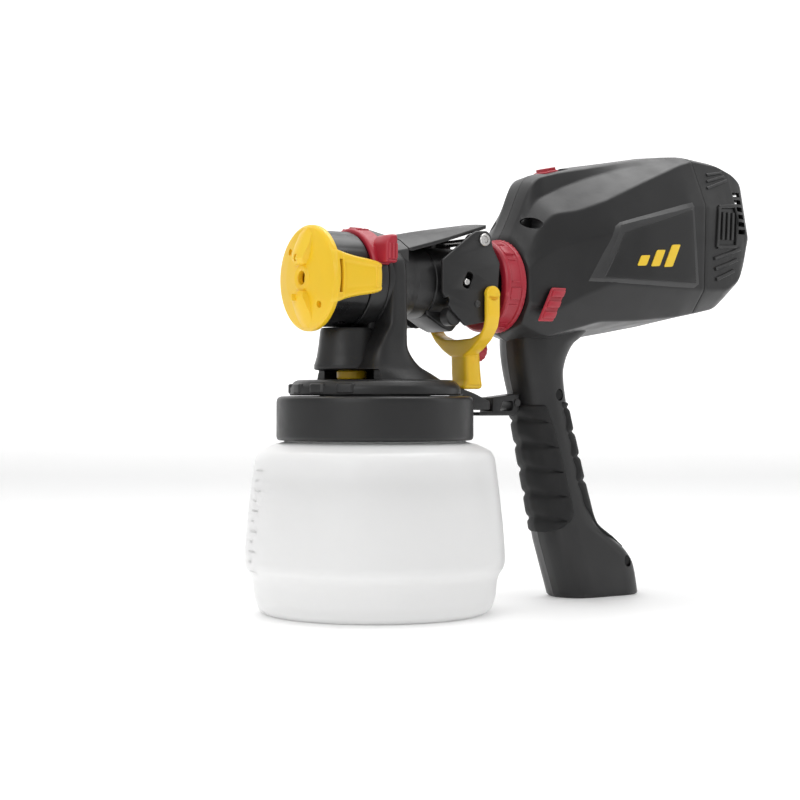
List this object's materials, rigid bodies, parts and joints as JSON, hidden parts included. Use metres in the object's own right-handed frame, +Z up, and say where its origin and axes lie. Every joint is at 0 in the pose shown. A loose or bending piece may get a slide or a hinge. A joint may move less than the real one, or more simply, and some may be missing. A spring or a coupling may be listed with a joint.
{
  "type": "handheld turbine paint sprayer",
  "caption": "Handheld electric turbine paint sprayer: pistol-grip power unit with a fan, and a clip-on spray attachment with trigger, air cap and screw-on paint container.",
  "frame": {"origin": "centre of the container's flat base, on the floor that the container and the handle stand on", "axes": "-X is the direction of the spray, +X runs back towards the handle and the fan, +Y is the sprayer's right side, +Z is up"},
  "size_m": [0.315, 0.14, 0.259],
  "materials": {
    "charcoal_plastic": "satin moulded plastic, finely grained",
    "soft_grip": "matt soft overmould",
    "yellow_plastic": "semi-gloss moulded plastic",
    "red_plastic": "semi-gloss moulded plastic",
    "milky_plastic": "translucent milky polyethylene",
    "steel": "bright steel",
    "board": "green circuit board",
    "rubber": "matt black rubber",
    "foam": "open-cell grey foam",
    "black_steel": "blackened steel screw heads"
  },
  "bodies": {
    "power_unit": {"housing_left": "charcoal_plastic", "housing_right": "charcoal_plastic", "outlet_duct": "charcoal_plastic", "duct_seal": "rubber", "turbine_casing": "charcoal_plastic", "motor_can": "steel", "circuit_board": "board", "switch_block": "charcoal_plastic", "cable_gland": "rubber", "housing_screw_1": "black_steel", "housing_screw_2": "black_steel", "housing_screw_3": "black_steel", "front_grip": "soft_grip", "rear_grip": "soft_grip"},
    "lock_ring": {"lock_ring": "red_plastic"},
    "power_switch": {"power_switch": "red_plastic"},
    "air_slider": {"air_slider": "red_plastic"},
    "catch_arm": {"catch_arm": "charcoal_plastic"},
    "filter_cover": {"filter_cover": "charcoal_plastic", "air_filter": "foam"},
    "rotor": {"turbine_fan": "steel", "motor_shaft": "steel"},
    "attachment": {"attachment_body": "charcoal_plastic", "vent_disc": "yellow_plastic", "coupling_sleeve": "charcoal_plastic", "coupling_seal": "rubber", "trigger_pin": "steel", "container_lid": "charcoal_plastic", "lid_gasket": "rubber", "riser_tube": "milky_plastic", "union_nut": "charcoal_plastic", "nozzle": "yellow_plastic", "needle_seal": "rubber", "spring_cap": "charcoal_plastic", "roof_cover": "charcoal_plastic"},
    "container": {"container": "milky_plastic"},
    "air_cap": {"air_cap": "yellow_plastic"},
    "spray_width_ring": {"spray_width_ring": "red_plastic"},
    "needle": {"needle": "steel", "needle_spring": "steel"},
    "trigger": {"trigger_lever": "yellow_plastic", "cheek_left": "charcoal_plastic", "cheek_right": "charcoal_plastic"},
    "flow_knob": {"flow_knob": "red_plastic"}
  },
  "joints": [
    {"name": "lock_ring_turn", "type": "hinge", "parent": "power_unit", "child": "lock_ring", "pos_m": [0.0703, 0, 0.178], "axis": [1, 0, 0], "range_deg": [0, 30]},
    {"name": "power_switch_slide", "type": "slide", "parent": "power_unit", "child": "power_switch", "axis": [-0.454, 0, -0.891], "range_m": [0, 0.006]},
    {"name": "air_slider_slide", "type": "slide", "parent": "power_unit", "child": "air_slider", "axis": [0.9781, 0, 0.2079], "range_m": [0, 0.006]},
    {"name": "catch_tilt", "type": "hinge", "parent": "power_unit", "child": "catch_arm", "pos_m": [0.0955, 0, 0.1125], "axis": [0, -1, 0], "range_deg": [0, 12], "stiffness_Nm_per_rad": 0.2, "springref_deg": -5.73},
    {"name": "filter_cover_pull", "type": "slide", "parent": "power_unit", "child": "filter_cover", "axis": [1, 0, 0], "range_m": [0, 0.03]},
    {"name": "rotor_spin", "type": "hinge", "parent": "power_unit", "child": "rotor", "pos_m": [0.16, 0, 0.205], "axis": [1, 0, 0], "continuous": true},
    {"name": "attachment_pull", "type": "slide", "parent": "power_unit", "child": "attachment", "axis": [-1, 0, 0], "range_m": [0, 0.05]},
    {"name": "container_unscrew", "type": "hinge", "parent": "attachment", "child": "container", "pos_m": [0, 0, 0], "axis": [0, 0, -1], "range_deg": [0, 120]},
    {"name": "air_cap_turn", "type": "hinge", "parent": "attachment", "child": "air_cap", "pos_m": [-0.045, 0, 0.178], "axis": [-1, 0, 0], "range_deg": [0, 90]},
    {"name": "spray_width_turn", "type": "hinge", "parent": "attachment", "child": "spray_width_ring", "pos_m": [-0.018, 0, 0.178], "axis": [-1, 0, 0], "range_deg": [0, 45]},
    {"name": "trigger_pull", "type": "hinge", "parent": "attachment", "child": "trigger", "pos_m": [0.0553, 0, 0.2012], "axis": [0, -1, 0], "range_deg": [0, 9], "stiffness_Nm_per_rad": 2, "springref_deg": -5.73},
    {"name": "needle_slide", "type": "slide", "parent": "attachment", "child": "needle", "axis": [1, 0, 0], "range_m": [0, 0.0045], "deforming": ["needle_spring"]},
    {"name": "flow_knob_turn", "type": "hinge", "parent": "trigger", "child": "flow_knob", "pos_m": [0.0672, 0, 0.142], "axis": [1, 0, 0], "range_deg": [0, 270]}
  ],
  "couplings": [
    {"joint": "needle_slide", "follows": "trigger_pull", "m_per_rad": 0.0266}
  ]
}
